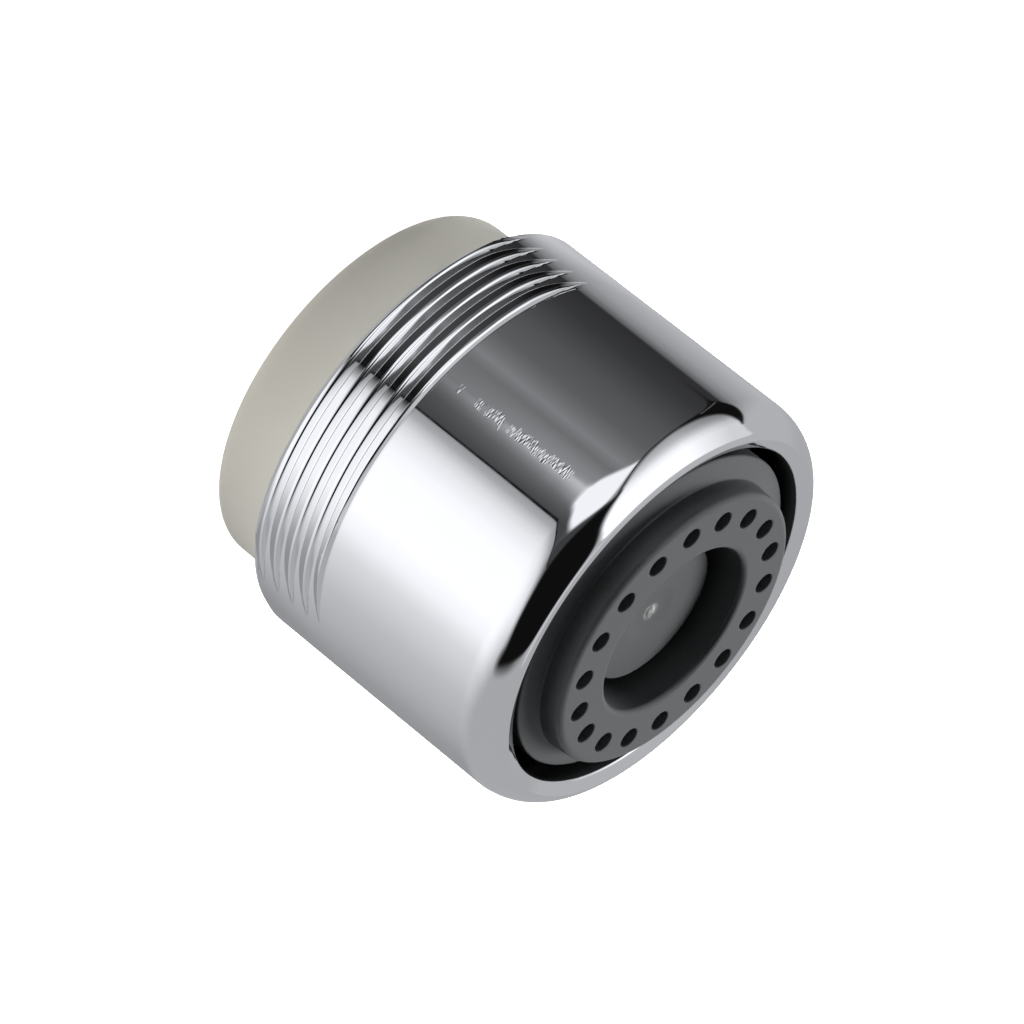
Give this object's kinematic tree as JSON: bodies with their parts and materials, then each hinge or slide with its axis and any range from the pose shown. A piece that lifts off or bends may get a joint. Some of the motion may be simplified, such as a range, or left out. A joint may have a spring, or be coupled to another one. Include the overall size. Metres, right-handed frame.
{
  "type": "tap aerator",
  "caption": "Tap aerator cartridge in a chromed housing with a male thread, a thick sealing washer at the inlet and a pierced plastic outlet insert.",
  "frame": {"origin": "on the axis of the water, in the plane of the sealing washer's free face, on which the part stands", "axes": "+Z along the water's way from the inlet to the outlet face, X and Y across the body, with the thread's full crests on the Y sides and its faded sides on X"},
  "size_m": [0.023, 0.0238, 0.0215],
  "materials": {
    "chrome": "mirror polished chrome plate on brass",
    "washer_rubber": "matte light grey elastomer",
    "insert_plastic": "satin mid grey moulding",
    "cartridge_plastic": "satin off-white moulding",
    "jacket_plastic": "satin black moulding",
    "ring_rubber": "matte black elastomer",
    "screen_steel": "fine pierced stainless sheet"
  },
  "bodies": {
    "root": {"housing": "chrome", "sealing_washer": "washer_rubber", "inlet_strainer": "cartridge_plastic", "flow_regulator": "cartridge_plastic", "regulator_ring": "ring_rubber", "jet_plate": "cartridge_plastic", "cartridge_jacket": "jacket_plastic", "first_screen": "screen_steel", "middle_screen": "screen_steel", "last_screen": "screen_steel", "first_spacer": "cartridge_plastic", "last_spacer": "cartridge_plastic", "outlet_insert": "insert_plastic"}
  },
  "joints": []
}
